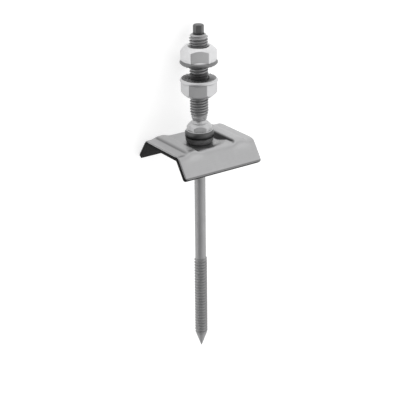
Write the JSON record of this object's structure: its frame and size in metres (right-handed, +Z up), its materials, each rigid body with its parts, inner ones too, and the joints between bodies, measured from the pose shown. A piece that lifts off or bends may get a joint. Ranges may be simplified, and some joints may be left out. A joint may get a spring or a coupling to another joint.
{
  "type": "solar hanger bolt",
  "caption": "Long screw with a tapping thread below and a machine-threaded stud above, flange nuts, a sealing ring and a folded saddle for fixing a rail bracket to a ribbed roof.",
  "frame": {"origin": "on the surface that the part lies on, under the middle of its box", "axes": "+Z up as the loose part lies, +X along the screw towards the stud end, +Y along the saddle's length"},
  "size_m": [0.1882, 0.05, 0.0506],
  "materials": {
    "screw_steel": "drawn and rolled steel",
    "nut_steel": "bright pressed steel",
    "washer_steel": "stamped steel",
    "seal_rubber": "matte moulded rubber",
    "saddle_aluminium": "rolled sheet",
    "lining_rubber": "matte rubber sheet"
  },
  "bodies": {
    "root": {"hanger_screw": "screw_steel", "upper_nut": "nut_steel", "lower_nut": "nut_steel", "sealing_washer": "washer_steel", "seal": "seal_rubber", "saddle": "saddle_aluminium", "saddle_lining": "lining_rubber"}
  },
  "joints": []
}
